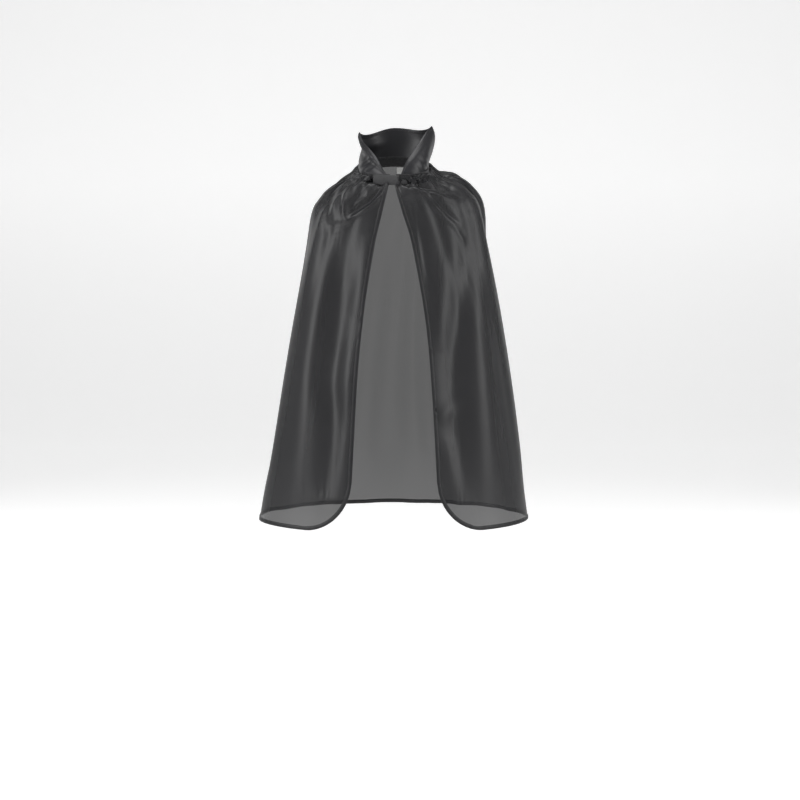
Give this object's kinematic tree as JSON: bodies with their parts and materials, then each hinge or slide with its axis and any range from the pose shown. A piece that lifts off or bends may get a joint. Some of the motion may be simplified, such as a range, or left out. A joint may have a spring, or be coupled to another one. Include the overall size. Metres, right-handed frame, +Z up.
{
  "type": "children's costume cape",
  "caption": "Child's knee-length satin costume cape, open at the front, with a stiffened stand-up collar and a hook-and-loop tab at the throat.",
  "frame": {"origin": "centre of the neckline ring, inside the neck tape", "axes": "+Z up, the wearer faces -Y, so +Y is the wearer's back and +X the wearer's left; the neckline ring is tilted 20 degrees about X, its front low"},
  "size_m": [0.4946, 0.2762, 0.7471],
  "materials": {
    "black_satin": "satin",
    "collar_satin": "satin",
    "stiffener_felt": "matte",
    "black_tape": "matte",
    "black_thread": "matte",
    "hook_and_loop": "matte",
    "loop_pile": "fuzzy",
    "hook_field": "matte",
    "label_ribbon": "satin"
  },
  "bodies": {
    "right_half": {"cape_panel_right": "black_satin", "edge_hem_right": "black_satin", "hem_stitching_right": "black_thread", "neck_tape_right": "black_tape", "neck_stitching_right": "black_thread", "gather_thread_1_right": "black_thread", "gather_thread_2_right": "black_thread", "collar_inner_right": "collar_satin", "collar_stiffener_right": "stiffener_felt", "collar_outer_right": "collar_satin", "collar_topstitch_right": "black_thread", "loop_tape": "hook_and_loop", "loop_pile": "loop_pile", "loop_tape_stitching": "black_thread"},
    "left_half": {"cape_panel_left": "black_satin", "edge_hem_left": "black_satin", "hem_stitching_left": "black_thread", "neck_tape_left": "black_tape", "neck_stitching_left": "black_thread", "gather_thread_1_left": "black_thread", "gather_thread_2_left": "black_thread", "collar_inner_left": "collar_satin", "collar_stiffener_left": "stiffener_felt", "collar_outer_left": "collar_satin", "collar_topstitch_left": "black_thread", "hook_tape_sewn_end": "hook_and_loop", "hook_tape_stitching": "black_thread", "care_label": "label_ribbon"},
    "tab": {"hook_tape_tab": "hook_and_loop", "hook_field": "hook_field"}
  },
  "joints": [
    {"name": "cape_open", "type": "hinge", "parent": "right_half", "child": "left_half", "pos_m": [0, 0.064, 0.105], "axis": [0, -0.1197, 0.9928], "range_deg": [0, 60]},
    {"name": "tab_peel", "type": "hinge", "parent": "left_half", "child": "tab", "pos_m": [0.0055, -0.06252, -0.02382], "axis": [0, -0.342, 0.9397], "range_deg": [0, 110]}
  ]
}
